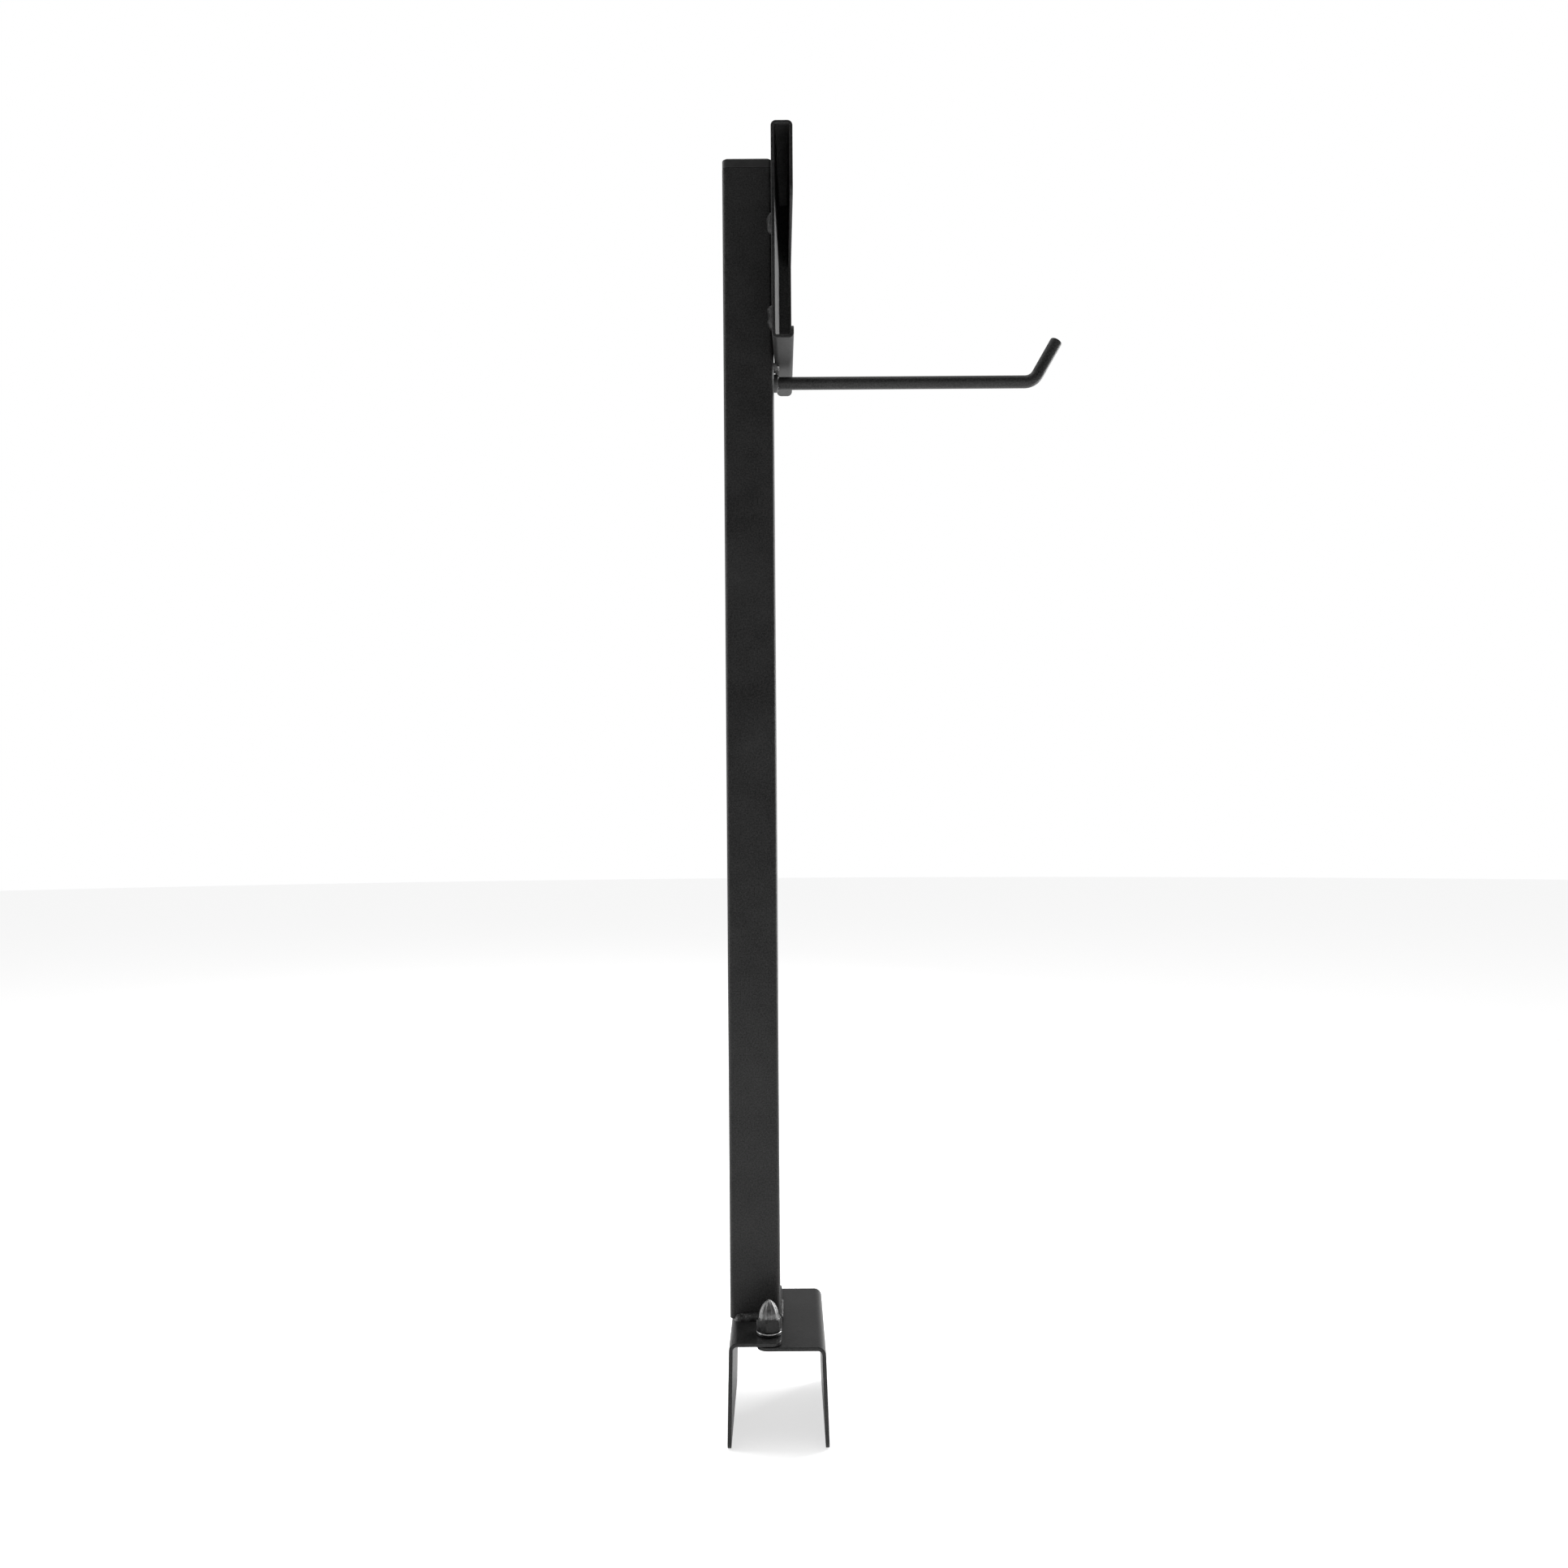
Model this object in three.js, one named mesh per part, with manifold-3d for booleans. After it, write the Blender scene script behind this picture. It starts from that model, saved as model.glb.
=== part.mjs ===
// Over-the-rail display upright: a square steel post on a two-piece rail saddle,
// with a narrow card pocket and a wire hook near the top.
//
// Millimetres, +Z up. The origin is on the post's axis, at the underside of the
// fixed saddle plate. +X points along the hook, and +Y away from the bolt.

import * as THREE from "three";
import { mergeVertices } from "three/addons/utils/BufferGeometryUtils.js";
import Module from "manifold-3d";

const wasm = await Module();
wasm.setup();

// ---------------------------------------------------------------- driving sizes

const GAP = 0.3; // room kept between pieces that touch
const SHEET = 1.9; // saddle sheet, 14 gauge
const BEND_INNER = 2.1; // inside radius of the saddle's bends

const TUBE_SIDE = 25.4; // one-inch square tube
const TUBE_WALL = 1.65;
const TUBE_CORNER = 2.2;
const TUBE_LENGTH = 582;

const BRACKET_NEAR = -42.9; // bolt-side edge of saddle and pocket, along Y
const BRACKET_DEPTH = 79.4;

const FIXED_OUTER = -12.1; // outer face of the fixed leg
const FIXED_FLARE = 1.2; // degrees that the fixed leg opens outwards
const FIXED_EDGE = 13.4; // free edge of the fixed plate
const SLIDING_EDGE = 1.55; // free edge of the sliding plate
const SLIDING_OUTER = 34.85; // outer face of the sliding leg
const SLIDING_FLARE = 1.8;
const LEG_BOTTOM = -49.8;
const PLATE_CORNER = 5; // near corner of each plate's free edge
const FAR_CORNER = 3;
const LEG_CORNER = 3;
const SQUARE_CORNER = 0.01; // a corner left square

const BOLT_X = 7.2;
const BOLT_Y = -31.1;
const BOLT_RADIUS = 3.1; // 1/4 inch thread, over its crests
const BOLT_END_CHAMFER = 0.8;
const BOLT_END_DROP = 5.4; // from the nut's tip down to the bolt's end
const BOLT_HOLE_RADIUS = 3.5;
const NECK_SIDE = 6.5;
const HEAD_RADIUS = 7.5;
const HEAD_HEIGHT = 3;
const SLOT_END = 12.2; // closed end of the sliding plate's open slot

const WASHER_RADIUS = 6.2;
const WASHER_RIM = 0.15; // broken edge
const FLAT_WASHER = 0.8; // thickness
const LOCK_WASHER = 0.9;
const LOCK_SPLIT = 1; // width of the cut
const LOCK_SPLIT_BEARING = 110; // degrees
const LOCK_SPLIT_SLANT = 25;
const STACK_GAP = 0.15;

const NUT_FLATS = 11.2; // 7/16 inch
const NUT_HEX = 5.8; // height of the hexagon
const NUT_HEIGHT = 14.75;
const NUT_DOME_RADIUS = 5;
const NUT_TURN = -100; // degrees, the direction of one corner
const NUT_TOP_CHAMFER = 0.5; // along the axis, at the corners
const NUT_BOTTOM_CHAMFER = 0.25;
const NUT_CLEARANCE = 0.2; // between thread and bore

const PLUG_HEAD = 5.1;
const PLUG_CHAMFER = 1.1; // across
const PLUG_CHAMFER_DROP = 0.8;
const PLUG_INSERT = 16;
const PLUG_WALL = 1.6;

const POCKET_BOTTOM = 485.9;
const POCKET_HEIGHT = 104.9;
const POCKET_SHEET = 1.7;
const POCKET_BEND = 0.8; // inside radius
const POCKET_LEFT_NEAR = 12.2;
const POCKET_LEFT_FAR = 14.1;
const POCKET_RIGHT_NEAR = 22.8;
const POCKET_RIGHT_FAR = 22.35;
const UPPER_LIP = 35;
const LOWER_LIP = 7;
const LIP_CORNER = 4;

const HOOK_RADIUS = 3.175; // quarter-inch wire
const HOOK_Z = 479.5;
const HOOK_BEND_X = 142; // where the straight run ends
const HOOK_BEND_RADIUS = 7.9;
const HOOK_RISE = 60; // degrees
const HOOK_TIP = 19.5; // straight length past the bend

const FOOT_WELD = 3.4; // radius of the beads across the post's foot
const FOOT_WELD_LEFT = -7; // ends of those beads' straight part, along X
const FOOT_WELD_RIGHT = 9.5;
const SIDE_WELD = 1.7;
const SIDE_WELD_NEAR = -9;
const SIDE_WELD_FAR = 11;
const POCKET_WELD = 3.2;
const UPPER_WELD_LOW = 553; // ends of the straight part, along Z
const UPPER_WELD_HIGH = 558.1;
const LOWER_WELD_LOW = 504.6;
const LOWER_WELD_HIGH = 511.3;
const UNDER_WELD = 2.2;
const UNDER_WELD_NEAR = -7.4;
const UNDER_WELD_FAR = -4.6;
const HOOK_WELD_FLARE = 1.2;
const HOOK_WELD_LENGTH = 2.6;

const PLATE_TOP = SHEET;
const TUBE_BOTTOM = PLATE_TOP + GAP;
const TUBE_TOP = TUBE_BOTTOM + TUBE_LENGTH;
const HALF = TUBE_SIDE / 2;
const BRACKET_FAR = BRACKET_NEAR + BRACKET_DEPTH;
const SLIDING_TOP = -GAP;
const SPARE = 10; // how far cutting blocks reach past what they cut

// ---------------------------------------------------------------- finishes

const powderCoat = { color: 0x1b1b1c, roughness: 0.45, metalness: 0 };
const weldCoat = { color: 0x1e1e1f, roughness: 0.5, metalness: 0 };
const blackPlastic = { color: 0x161617, roughness: 0.5, metalness: 0 };
const blackZinc = { color: 0x3a3a3c, roughness: 0.3, metalness: 0.9 };
const brightZinc = { color: 0x9a9b9d, roughness: 0.35, metalness: 1 };

const model = new THREE.Group();

function add(name, geometry, finish) {
  const mesh = new THREE.Mesh(geometry, new THREE.MeshStandardMaterial(finish));
  mesh.name = name;
  model.add(mesh);
  return mesh;
}

// ---------------------------------------------------------------- solids

function toSolid(geometry) {
  const bare = geometry.clone();
  bare.deleteAttribute("normal");
  bare.deleteAttribute("uv");
  const merged = mergeVertices(bare, 1e-5);
  const mesh = new wasm.Mesh({
    numProp: 3,
    vertProperties: new Float32Array(merged.attributes.position.array),
    triVerts: new Uint32Array(merged.index.array),
  });
  return new wasm.Manifold(mesh);
}

function toGeometry(solid) {
  const mesh = solid.getMesh();
  const geometry = new THREE.BufferGeometry();
  const positions = new THREE.BufferAttribute(new Float32Array(mesh.vertProperties), 3);
  geometry.setAttribute("position", positions);
  geometry.setIndex(new THREE.BufferAttribute(new Uint32Array(mesh.triVerts), 1));
  geometry.computeVertexNormals();
  return geometry;
}

function cut(base, ...tools) {
  let solid = toSolid(base);
  for (const tool of tools) {
    solid = solid.subtract(toSolid(tool));
  }
  return toGeometry(solid);
}

function common(base, ...others) {
  let solid = toSolid(base);
  for (const other of others) {
    solid = solid.intersect(toSolid(other));
  }
  return toGeometry(solid);
}

function join(base, ...others) {
  let solid = toSolid(base);
  for (const other of others) {
    solid = solid.add(toSolid(other));
  }
  return toGeometry(solid);
}

function block(x0, x1, y0, y1, z0, z1) {
  const geometry = new THREE.BoxGeometry(x1 - x0, y1 - y0, z1 - z0);
  return geometry.translate((x0 + x1) / 2, (y0 + y1) / 2, (z0 + z1) / 2);
}

function upright(radius, z0, z1, x, y, sides = 40) {
  const geometry = new THREE.CylinderGeometry(radius, radius, z1 - z0, sides);
  return geometry.rotateX(Math.PI / 2).translate(x, y, (z0 + z1) / 2);
}

function turned(points, x, y, sides = 48) {
  const geometry = new THREE.LatheGeometry(points, sides);
  return geometry.rotateX(Math.PI / 2).translate(x, y, 0);
}

// A rectangle with its own radius at each corner, counter-clockwise from the lower left.
function roundedRectangle(x0, x1, y0, y1, radii) {
  const [lowLeft, lowRight, highRight, highLeft] = radii;
  const shape = new THREE.Shape();
  shape.moveTo(x0 + lowLeft, y0);
  shape.lineTo(x1 - lowRight, y0);
  shape.absarc(x1 - lowRight, y0 + lowRight, lowRight, -Math.PI / 2, 0);
  shape.lineTo(x1, y1 - highRight);
  shape.absarc(x1 - highRight, y1 - highRight, highRight, 0, Math.PI / 2);
  shape.lineTo(x0 + highLeft, y1);
  shape.absarc(x0 + highLeft, y1 - highLeft, highLeft, Math.PI / 2, Math.PI);
  shape.lineTo(x0, y0 + lowLeft);
  shape.absarc(x0 + lowLeft, y0 + lowLeft, lowLeft, Math.PI, Math.PI * 1.5);
  return shape;
}

function extrudeUp(shape, z0, z1, curveSegments = 6) {
  const options = { depth: z1 - z0, bevelEnabled: false, curveSegments };
  return new THREE.ExtrudeGeometry(shape, options).translate(0, 0, z0);
}

// A shape drawn in X and Z, extruded along Y.
function extrudeAlongY(shape, y0, y1, curveSegments = 6) {
  const options = { depth: y1 - y0, bevelEnabled: false, curveSegments };
  return new THREE.ExtrudeGeometry(shape, options).rotateX(Math.PI / 2).translate(0, y1, 0);
}

// A shape drawn in Y and Z, extruded along X.
function extrudeAlongX(shape, x0, x1, curveSegments = 6) {
  const options = { depth: x1 - x0, bevelEnabled: false, curveSegments };
  const geometry = new THREE.ExtrudeGeometry(shape, options);
  return geometry.rotateX(Math.PI / 2).rotateZ(Math.PI / 2).translate(x0, 0, 0);
}

// The outline of a folded strip of sheet. The strip starts with the given side at
// (x, z), heading along angle, and each step is a straight run or a turn in degrees;
// positive turns go left. The second side lies one thickness to the left.
function foldedOutline(x, z, heading, thickness, inner, steps) {
  const right = [];
  const left = [];
  let angle = THREE.MathUtils.degToRad(heading);
  const position = new THREE.Vector2(x, z);
  const mark = () => {
    right.push(position.clone());
    left.push(new THREE.Vector2(-Math.sin(angle), Math.cos(angle)).multiplyScalar(thickness).add(position));
  };
  mark();
  for (const step of steps) {
    if (step.run) {
      position.x += Math.cos(angle) * step.run;
      position.y += Math.sin(angle) * step.run;
      mark();
      continue;
    }
    const total = THREE.MathUtils.degToRad(step.turn);
    const side = Math.sign(total);
    const radius = side > 0 ? inner + thickness : inner;
    const pieces = Math.max(4, Math.round(Math.abs(step.turn) / 12));
    for (let i = 0; i < pieces; i += 1) {
      const part = total / pieces;
      const chord = 2 * radius * Math.sin(Math.abs(part) / 2);
      position.x += Math.cos(angle + part / 2) * chord;
      position.y += Math.sin(angle + part / 2) * chord;
      angle += part;
      mark();
    }
  }
  return right.concat(left.reverse());
}

// A solid between two outlines in X and Z with the same number of points.
function loft(nearOutline, farOutline, nearY, farY) {
  const count = nearOutline.length;
  const positions = [];
  for (const point of nearOutline) {
    positions.push(point.x, nearY, point.y);
  }
  for (const point of farOutline) {
    positions.push(point.x, farY, point.y);
  }
  const index = [];
  for (const [a, b, c] of THREE.ShapeUtils.triangulateShape(nearOutline, [])) {
    index.push(a, b, c);
    index.push(a + count, c + count, b + count);
  }
  for (let i = 0; i < count; i += 1) {
    const next = (i + 1) % count;
    index.push(i, i + count, next);
    index.push(next, i + count, next + count);
  }
  const geometry = new THREE.BufferGeometry();
  geometry.setAttribute("position", new THREE.Float32BufferAttribute(positions, 3));
  geometry.setIndex(index);
  geometry.computeVertexNormals();
  return geometry;
}

// A weld bead: a capsule from one point to another, kept to one block of space.
function bead(from, to, radius, space) {
  const start = new THREE.Vector3(...from);
  const end = new THREE.Vector3(...to);
  const direction = end.clone().sub(start);
  const capsule = new THREE.CapsuleGeometry(radius, direction.length(), 6, 16);
  const turn = new THREE.Quaternion().setFromUnitVectors(new THREE.Vector3(0, 1, 0), direction.normalize());
  capsule.applyQuaternion(turn);
  capsule.translate(...start.add(end).multiplyScalar(0.5));
  return common(capsule, space);
}

// ---------------------------------------------------------------- post and plug

function tubeGeometry() {
  const outer = roundedRectangle(-HALF, HALF, -HALF, HALF, Array(4).fill(TUBE_CORNER));
  const inside = HALF - TUBE_WALL;
  const innerRadius = TUBE_CORNER - TUBE_WALL;
  outer.holes.push(roundedRectangle(-inside, inside, -inside, inside, Array(4).fill(innerRadius)));
  return extrudeUp(outer, TUBE_BOTTOM, TUBE_TOP);
}

function plugGeometry() {
  const edge = HALF - PLUG_CHAMFER;
  const top = roundedRectangle(-edge, edge, -edge, edge, Array(4).fill(TUBE_CORNER * 0.7));
  const options = {
    depth: PLUG_HEAD - PLUG_CHAMFER_DROP * 2,
    bevelThickness: PLUG_CHAMFER_DROP,
    bevelSize: PLUG_CHAMFER,
    bevelSegments: 3,
    curveSegments: 6,
  };
  const head = new THREE.ExtrudeGeometry(top, options);
  const headBottom = TUBE_TOP + GAP;
  head.translate(0, 0, headBottom + options.bevelThickness);
  const insertHalf = HALF - TUBE_WALL - GAP;
  const insertBottom = TUBE_TOP - PLUG_INSERT;
  const hollow = insertHalf - PLUG_WALL;
  const insert = block(-insertHalf, insertHalf, -insertHalf, insertHalf, insertBottom, headBottom + 1);
  const room = block(-hollow, hollow, -hollow, hollow, insertBottom - 1, TUBE_TOP - 1);
  return cut(join(head, insert), room);
}

add("upright_tube", tubeGeometry(), powderCoat);
add("tube_end_plug", plugGeometry(), blackPlastic);

// ---------------------------------------------------------------- rail saddle

function legRun(plateTop, flare) {
  const drop = plateTop - SHEET - BEND_INNER - LEG_BOTTOM;
  return drop / Math.cos(THREE.MathUtils.degToRad(flare));
}

// Both brackets fold from a flat plate into a leg; the outline starts at the plate's free edge.
function bracketOutline(freeEdge, outerFace, plateTop, flare) {
  const across = Math.abs(outerFace - freeEdge) - SHEET - BEND_INNER;
  const fold = 90 - flare;
  const run = legRun(plateTop, flare);
  if (outerFace < freeEdge) {
    const steps = [{ run: across }, { turn: fold }, { run }];
    return foldedOutline(freeEdge, plateTop, 180, SHEET, BEND_INNER, steps);
  }
  const underside = plateTop - SHEET;
  const steps = [{ run: across }, { turn: -fold }, { run }];
  return foldedOutline(freeEdge, underside, 0, SHEET, BEND_INNER, steps);
}

function bracketGeometry(freeEdge, outerFace, plateTop, flare, cornerRadii) {
  const folded = new THREE.Shape(bracketOutline(freeEdge, outerFace, plateTop, flare));
  const body = extrudeAlongY(folded, BRACKET_NEAR, BRACKET_FAR);
  const reach = outerFace + Math.sign(outerFace - freeEdge) * SPARE;
  const low = Math.min(freeEdge, reach);
  const high = Math.max(freeEdge, reach);
  const plan = roundedRectangle(low, high, BRACKET_NEAR, BRACKET_FAR, cornerRadii);
  const planPrism = extrudeUp(plan, LEG_BOTTOM - SPARE, plateTop + SPARE);
  const tips = [LEG_CORNER, LEG_CORNER, SQUARE_CORNER, SQUARE_CORNER];
  const side = roundedRectangle(BRACKET_NEAR, BRACKET_FAR, LEG_BOTTOM, plateTop + SPARE, tips);
  const sidePrism = extrudeAlongX(side, low - 1, high + 1);
  return common(body, planPrism, sidePrism);
}

function fixedBracket() {
  const corners = [SQUARE_CORNER, PLATE_CORNER, FAR_CORNER, SQUARE_CORNER];
  const plain = bracketGeometry(FIXED_EDGE, FIXED_OUTER, PLATE_TOP, FIXED_FLARE, corners);
  return cut(plain, upright(BOLT_HOLE_RADIUS, -2, PLATE_TOP + 2, BOLT_X, BOLT_Y));
}

function slidingBracket() {
  const corners = [PLATE_CORNER, SQUARE_CORNER, SQUARE_CORNER, FAR_CORNER];
  const plain = bracketGeometry(SLIDING_EDGE, SLIDING_OUTER, SLIDING_TOP, SLIDING_FLARE, corners);
  const slot = block(
    SLIDING_EDGE - SPARE, SLOT_END,
    BOLT_Y - BOLT_HOLE_RADIUS, BOLT_Y + BOLT_HOLE_RADIUS,
    SLIDING_TOP - SHEET - 1, SLIDING_TOP + 1,
  );
  return cut(plain, slot);
}

add("fixed_bracket", fixedBracket(), powderCoat);
add("sliding_bracket", slidingBracket(), powderCoat);

// ---------------------------------------------------------------- bolt, washers and nut

const HEAD_TOP = SLIDING_TOP - SHEET - GAP;
const FLAT_BOTTOM = PLATE_TOP + STACK_GAP;
const LOCK_BOTTOM = FLAT_BOTTOM + FLAT_WASHER + STACK_GAP;
const NUT_BOTTOM = LOCK_BOTTOM + LOCK_WASHER + STACK_GAP;
const BOLT_END = NUT_BOTTOM + NUT_HEIGHT - BOLT_END_DROP;

function carriageBolt() {
  const profile = [];
  const rings = 6;
  for (let i = 0; i < rings; i += 1) {
    const out = i / rings;
    const height = HEAD_HEIGHT * (1 - out * out);
    profile.push(new THREE.Vector2(HEAD_RADIUS * out, HEAD_TOP - height));
  }
  profile.push(
    new THREE.Vector2(HEAD_RADIUS, HEAD_TOP),
    new THREE.Vector2(BOLT_RADIUS, HEAD_TOP),
    new THREE.Vector2(BOLT_RADIUS, BOLT_END - BOLT_END_CHAMFER),
    new THREE.Vector2(BOLT_RADIUS - BOLT_END_CHAMFER, BOLT_END),
    new THREE.Vector2(0, BOLT_END),
  );
  const half = NECK_SIDE / 2;
  const neck = block(
    BOLT_X - half, BOLT_X + half, BOLT_Y - half, BOLT_Y + half,
    HEAD_TOP - 0.5, SLIDING_TOP - 0.1,
  );
  return join(turned(profile, BOLT_X, BOLT_Y), neck);
}

function washer(bottom, thickness) {
  const hole = BOLT_RADIUS + GAP;
  const profile = [
    new THREE.Vector2(hole, bottom),
    new THREE.Vector2(WASHER_RADIUS - WASHER_RIM, bottom),
    new THREE.Vector2(WASHER_RADIUS, bottom + WASHER_RIM),
    new THREE.Vector2(WASHER_RADIUS, bottom + thickness - WASHER_RIM),
    new THREE.Vector2(WASHER_RADIUS - WASHER_RIM, bottom + thickness),
    new THREE.Vector2(hole, bottom + thickness),
    new THREE.Vector2(hole, bottom),
  ];
  return turned(profile, BOLT_X, BOLT_Y);
}

// A lock washer is a ring cut through on one side, at a slant.
function lockWasher() {
  const ring = washer(LOCK_BOTTOM, LOCK_WASHER);
  const split = new THREE.BoxGeometry(WASHER_RADIUS * 2, LOCK_SPLIT, LOCK_WASHER * 4);
  split.translate(WASHER_RADIUS, 0, 0);
  split.rotateX(THREE.MathUtils.degToRad(LOCK_SPLIT_SLANT));
  split.rotateZ(THREE.MathUtils.degToRad(LOCK_SPLIT_BEARING));
  split.translate(BOLT_X, BOLT_Y, LOCK_BOTTOM + LOCK_WASHER / 2);
  return cut(ring, split);
}

function domeProfile() {
  const hexTop = NUT_BOTTOM + NUT_HEX;
  const tip = NUT_BOTTOM + NUT_HEIGHT;
  const height = tip - hexTop;
  const points = [new THREE.Vector2(0, hexTop - 1), new THREE.Vector2(NUT_DOME_RADIUS, hexTop - 1)];
  const steps = 9;
  for (let i = 0; i < steps; i += 1) {
    const rise = i / steps;
    const radius = NUT_DOME_RADIUS * Math.pow(1 - Math.pow(rise, 2.1), 0.72);
    points.push(new THREE.Vector2(radius, hexTop + rise * height));
  }
  points.push(new THREE.Vector2(0, tip));
  return points;
}

function domeNut() {
  const corner = NUT_FLATS / Math.sqrt(3);
  const hexTop = NUT_BOTTOM + NUT_HEX;
  const hexagon = new THREE.CylinderGeometry(corner, corner, NUT_HEX, 6, 1, false, Math.PI / 2);
  hexagon.rotateX(Math.PI / 2);
  hexagon.rotateZ(THREE.MathUtils.degToRad(NUT_TURN));
  hexagon.translate(BOLT_X, BOLT_Y, NUT_BOTTOM + NUT_HEX / 2);
  const flat = NUT_FLATS / 2;
  const chamfer = [
    new THREE.Vector2(0, NUT_BOTTOM),
    new THREE.Vector2(flat, NUT_BOTTOM),
    new THREE.Vector2(corner + GAP, NUT_BOTTOM + NUT_BOTTOM_CHAMFER),
    new THREE.Vector2(corner + GAP, hexTop - NUT_TOP_CHAMFER),
    new THREE.Vector2(flat, hexTop),
    new THREE.Vector2(0, hexTop),
  ];
  const base = common(hexagon, turned(chamfer, BOLT_X, BOLT_Y));
  const dome = turned(domeProfile(), BOLT_X, BOLT_Y);
  const bore = upright(BOLT_RADIUS + NUT_CLEARANCE, NUT_BOTTOM - 1, BOLT_END + GAP, BOLT_X, BOLT_Y);
  return cut(join(base, dome), bore);
}

add("carriage_bolt", carriageBolt(), brightZinc);
add("flat_washer", washer(FLAT_BOTTOM, FLAT_WASHER), blackZinc);
add("lock_washer", lockWasher(), brightZinc);
add("dome_nut", domeNut(), blackZinc);

// ---------------------------------------------------------------- card pocket

function pocketOutline(left, right) {
  const bend = POCKET_SHEET + POCKET_BEND;
  const across = right - left - bend * 2;
  const steps = [
    { run: LOWER_LIP - bend },
    { turn: -90 },
    { run: across },
    { turn: -90 },
    { run: POCKET_HEIGHT - bend * 2 },
    { turn: -90 },
    { run: across },
    { turn: -90 },
    { run: UPPER_LIP - bend },
  ];
  const innerFace = right - POCKET_SHEET;
  return foldedOutline(innerFace, POCKET_BOTTOM + LOWER_LIP, -90, POCKET_SHEET, POCKET_BEND, steps);
}

function pocketBlockOutline(left, right) {
  const top = POCKET_BOTTOM + POCKET_HEIGHT;
  const radius = POCKET_SHEET + POCKET_BEND;
  const shape = roundedRectangle(left, right, POCKET_BOTTOM, top, Array(4).fill(radius));
  const points = shape.getPoints(8);
  const last = points[points.length - 1];
  return last.distanceTo(points[0]) < 1e-6 ? points.slice(0, -1) : points;
}

// What is cut away at the open side: the window between the lips, with round corners
// where the lips meet the mouth.
function pocketWindow() {
  const low = POCKET_BOTTOM + LOWER_LIP;
  const high = POCKET_BOTTOM + POCKET_HEIGHT - UPPER_LIP;
  const shape = new THREE.Shape();
  const mouth = BRACKET_NEAR;
  shape.moveTo(mouth - 1, low - LIP_CORNER);
  shape.lineTo(mouth, low - LIP_CORNER);
  shape.absarc(mouth + LIP_CORNER, low - LIP_CORNER, LIP_CORNER, Math.PI, Math.PI / 2, true);
  shape.lineTo(mouth + LIP_CORNER, high);
  shape.absarc(mouth + LIP_CORNER, high + LIP_CORNER, LIP_CORNER, -Math.PI / 2, -Math.PI, true);
  shape.lineTo(mouth - 1, high + LIP_CORNER);
  const cutStart = POCKET_RIGHT_NEAR - POCKET_SHEET - 0.4;
  return extrudeAlongX(shape, cutStart, POCKET_RIGHT_NEAR + 2, 8);
}

function cardPocket() {
  const folded = loft(
    pocketOutline(POCKET_LEFT_NEAR, POCKET_RIGHT_NEAR),
    pocketOutline(POCKET_LEFT_FAR, POCKET_RIGHT_FAR),
    BRACKET_NEAR, BRACKET_FAR,
  );
  const whole = loft(
    pocketBlockOutline(POCKET_LEFT_NEAR, POCKET_RIGHT_NEAR),
    pocketBlockOutline(POCKET_LEFT_FAR, POCKET_RIGHT_FAR),
    BRACKET_NEAR, BRACKET_FAR,
  );
  const slab = block(
    0, POCKET_RIGHT_NEAR + SPARE,
    BRACKET_FAR - POCKET_SHEET, BRACKET_FAR + 1,
    POCKET_BOTTOM - 1, POCKET_BOTTOM + POCKET_HEIGHT + 1,
  );
  const endWall = common(whole, slab);
  return cut(join(folded, endWall), pocketWindow());
}

add("card_pocket", cardPocket(), powderCoat);

// ---------------------------------------------------------------- wire hook

// A circular bend in the XZ plane, from level up to the given rise.
class BendCurve extends THREE.Curve {
  constructor(start, radius, rise) {
    super();
    this.start = start;
    this.radius = radius;
    this.rise = rise;
  }

  getPoint(t, target = new THREE.Vector3()) {
    const angle = this.rise * t;
    target.set(Math.sin(angle) * this.radius, 0, (1 - Math.cos(angle)) * this.radius);
    return target.add(this.start);
  }
}

function wireHook() {
  const root = new THREE.Vector3(HALF + GAP, 0, HOOK_Z);
  const bendStart = new THREE.Vector3(HOOK_BEND_X, 0, HOOK_Z);
  const rise = THREE.MathUtils.degToRad(HOOK_RISE);
  const bend = new BendCurve(bendStart, HOOK_BEND_RADIUS, rise);
  const bendEnd = bend.getPoint(1);
  const tip = new THREE.Vector3(Math.cos(rise), 0, Math.sin(rise)).multiplyScalar(HOOK_TIP).add(bendEnd);
  const centreline = new THREE.CurvePath();
  centreline.add(new THREE.LineCurve3(root, bendStart));
  centreline.add(bend);
  centreline.add(new THREE.LineCurve3(bendEnd, tip));
  const section = new THREE.Shape().absarc(0, 0, HOOK_RADIUS, 0, Math.PI * 2);
  return new THREE.ExtrudeGeometry(section, { steps: 90, extrudePath: centreline, curveSegments: 8 });
}

add("hook_wire", wireHook(), powderCoat);

// ---------------------------------------------------------------- weld beads

const nearFace = -HALF - GAP;
const farFace = HALF + GAP;
const rightFace = HALF + GAP;
const weldFloor = PLATE_TOP + GAP;
const weldCeiling = weldFloor + SPARE;
const pocketFace = POCKET_LEFT_NEAR + 0.5; // clear of the pocket's slanting wall beside the post

// A bead across the post's foot, on the side that the sign of its face says.
function footBead(y, face) {
  return bead(
    [FOOT_WELD_LEFT, y, PLATE_TOP], [FOOT_WELD_RIGHT, y, PLATE_TOP], FOOT_WELD,
    block(-TUBE_SIDE, TUBE_SIDE, Math.min(face, face * 2), Math.max(face, face * 2), weldFloor, weldCeiling),
  );
}

// A bead up the post's near right corner, against the pocket.
function pocketBead(low, high) {
  return bead(
    [HALF, -HALF, low], [HALF, -HALF, high], POCKET_WELD,
    block(0, pocketFace, nearFace * 2, nearFace, low - SPARE, high + SPARE),
  );
}

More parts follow.
